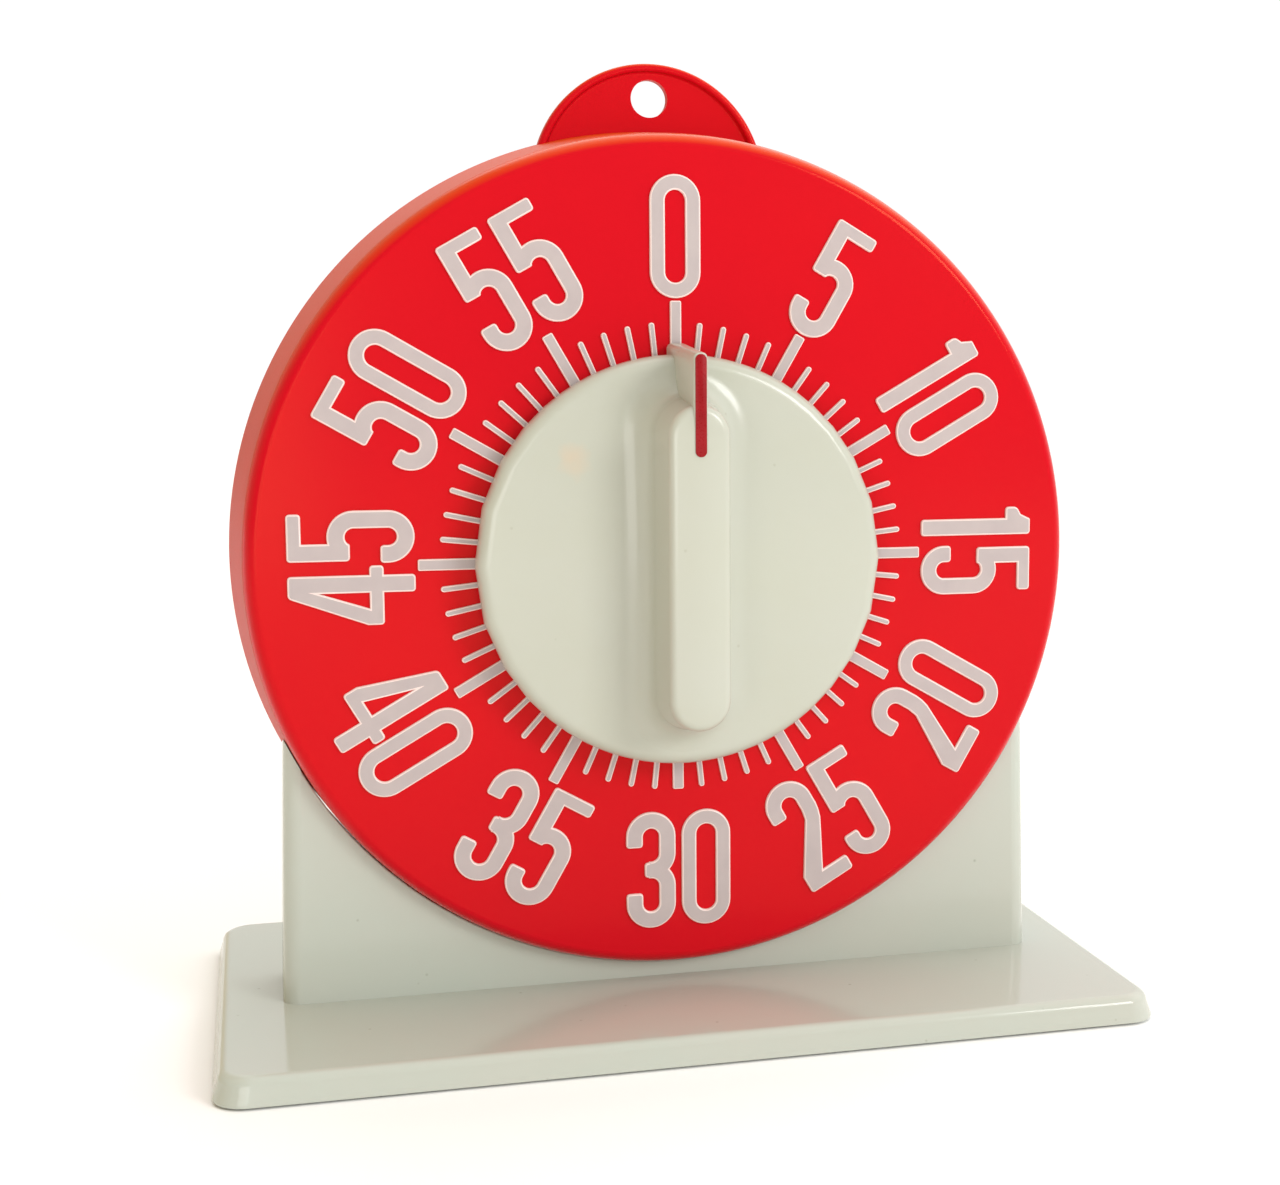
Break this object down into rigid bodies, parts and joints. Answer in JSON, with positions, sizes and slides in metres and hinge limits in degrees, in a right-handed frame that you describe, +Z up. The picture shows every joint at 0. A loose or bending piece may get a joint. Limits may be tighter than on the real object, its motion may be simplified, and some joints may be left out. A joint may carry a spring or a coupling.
{
  "type": "mechanical interval timer",
  "caption": "Large round spring-wound minute timer with raised dial numbers, a winding knob with pointer, a hanging tab and a pedestal stand.",
  "frame": {"origin": "middle of the base plate's footprint, on the surface it stands on", "axes": "+Z up, the dial faces -Y, +X to the right seen from the front"},
  "size_m": [0.2012, 0.112, 0.2115],
  "materials": {
    "red_plastic": "gloss red moulding",
    "white_foil": "hot-stamped white",
    "red_foil": "hot-stamped dark red",
    "cream_plastic": "gloss cream moulding",
    "stand_plastic": "gloss pale cream moulding",
    "cover_plastic": "satin moulding",
    "black_rubber": "matte",
    "felt": "pressed felt",
    "screw_steel": "zinc plated",
    "plate_steel": "brushed sheet",
    "arbor_steel": "turned",
    "spring_steel": "blued",
    "brass": "stamped brass",
    "bell_steel": "plated"
  },
  "bodies": {
    "stand_and_case": {"case": "red_plastic", "dial_numerals": "white_foil", "minute_marks": "white_foil", "back_cover": "cover_plastic", "cover_screws": "screw_steel", "dial_washer": "felt", "arbor_bushing": "brass", "pedestal": "stand_plastic", "base_plate": "stand_plastic", "rubber_feet": "black_rubber", "base_screws": "screw_steel", "case_screws": "screw_steel", "front_plate": "plate_steel", "back_plate": "plate_steel", "plate_pillars": "plate_steel", "pillar_screws": "screw_steel", "movement_screws": "screw_steel", "mainspring": "spring_steel", "spring_post": "arbor_steel", "stop_post": "arbor_steel", "hammer_stop": "arbor_steel", "bell": "bell_steel", "bell_post": "brass", "bell_screw": "screw_steel"},
    "winder": {"knob": "cream_plastic", "pointer_inlay": "red_foil", "knob_clip": "spring_steel", "winding_arbor": "arbor_steel", "main_wheel": "brass", "ratchet_wheel": "spring_steel", "click_rivet": "brass", "click_spring": "spring_steel", "stop_pin": "arbor_steel", "ring_cam": "spring_steel"},
    "click": {"click": "spring_steel"},
    "second_axle": {"second_arbor": "arbor_steel", "second_wheel": "brass"},
    "third_axle": {"third_arbor": "arbor_steel", "third_wheel": "brass"},
    "escape_axle": {"escape_arbor": "arbor_steel", "escape_wheel": "brass"},
    "pallet": {"pallet_arbor": "arbor_steel", "pallet_lever": "brass"},
    "hammer": {"hammer_arbor": "arbor_steel", "hammer_arm": "plate_steel", "hammer_head": "brass"}
  },
  "joints": [
    {"name": "knob_turn", "type": "hinge", "parent": "stand_and_case", "child": "winder", "pos_m": [0, -0.0054, 0.10184], "axis": [0, 1, 0], "range_deg": [0, 354]},
    {"name": "second_turn", "type": "hinge", "parent": "stand_and_case", "child": "second_axle", "pos_m": [0.0105, -0.0054, 0.12003], "axis": [0, 1, 0], "continuous": true},
    {"name": "third_turn", "type": "hinge", "parent": "stand_and_case", "child": "third_axle", "pos_m": [-0.00353, -0.0054, 0.12813], "axis": [0, 1, 0], "continuous": true},
    {"name": "escape_turn", "type": "hinge", "parent": "stand_and_case", "child": "escape_axle", "pos_m": [-0.01706, -0.0054, 0.1232], "axis": [0, 1, 0], "continuous": true},
    {"name": "click_lift", "type": "hinge", "parent": "winder", "child": "click", "pos_m": [0, -0.0081, 0.11234], "axis": [0, 1, 0], "range_deg": [-10, 0], "stiffness_Nm_per_rad": 0.001},
    {"name": "pallet_rock", "type": "hinge", "parent": "stand_and_case", "child": "pallet", "pos_m": [-0.0246, -0.0054, 0.11792], "axis": [0, 1, 0], "range_deg": [-9, 9]},
    {"name": "hammer_swing", "type": "hinge", "parent": "stand_and_case", "child": "hammer", "pos_m": [0.025, -0.0054, 0.08884], "axis": [0, 1, 0], "range_deg": [-4, 4.6], "stiffness_Nm_per_rad": 0.06}
  ],
  "couplings": [
    {"joint": "second_turn", "follows": "knob_turn", "ratio": -6},
    {"joint": "third_turn", "follows": "knob_turn", "ratio": 30},
    {"joint": "escape_turn", "follows": "knob_turn", "ratio": -150}
  ]
}
